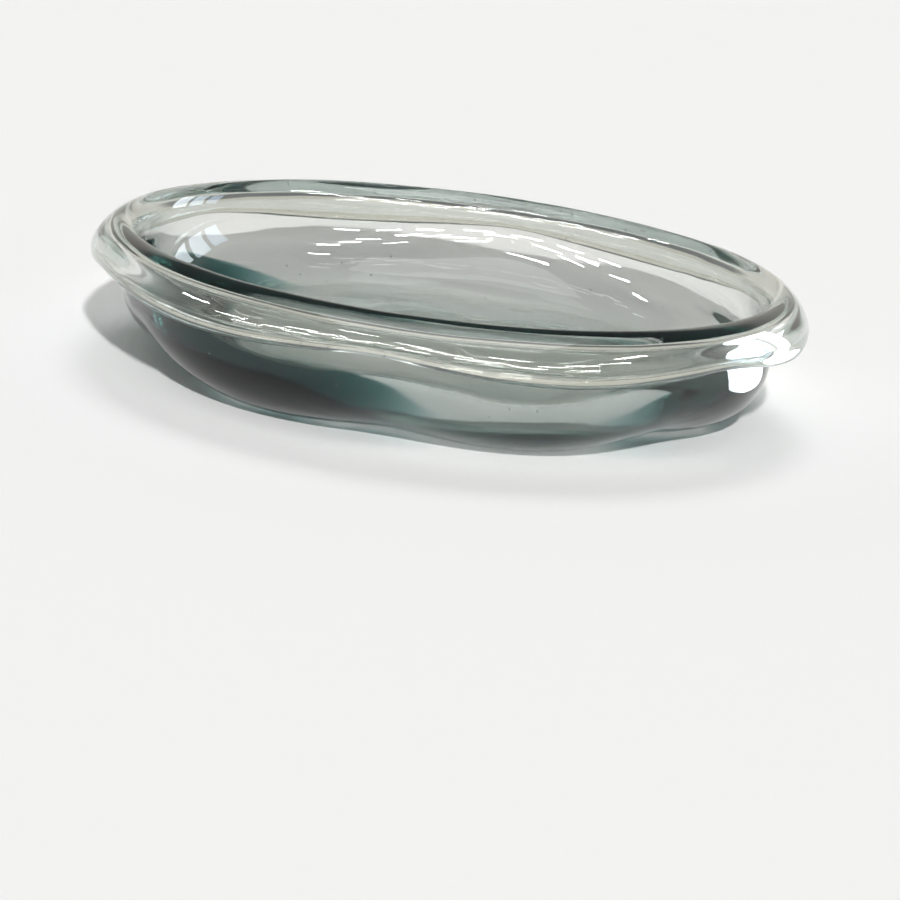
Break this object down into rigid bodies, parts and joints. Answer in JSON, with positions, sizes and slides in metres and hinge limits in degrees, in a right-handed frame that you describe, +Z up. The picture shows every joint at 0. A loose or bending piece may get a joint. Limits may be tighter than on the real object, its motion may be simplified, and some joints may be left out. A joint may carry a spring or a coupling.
{
  "type": "lobed glass bowl",
  "caption": "Shallow open bowl of thick, faintly blue-grey blown glass with a lobed body, a ground flat base and a rim rolled out and down; stands free on a table to hold fruit or flowers.",
  "frame": {"origin": "middle of the flat base, on the surface that the bowl stands on", "axes": "+Z up through the open mouth, +X through the middle of a lobe, +Y through the crease between two lobes"},
  "size_m": [0.32, 0.318, 0.06],
  "materials": {
    "glass": "fire-polished clear glass with a faint blue-grey tint that deepens where it is thick"
  },
  "bodies": {
    "root": {"bowl": "glass"}
  },
  "joints": []
}
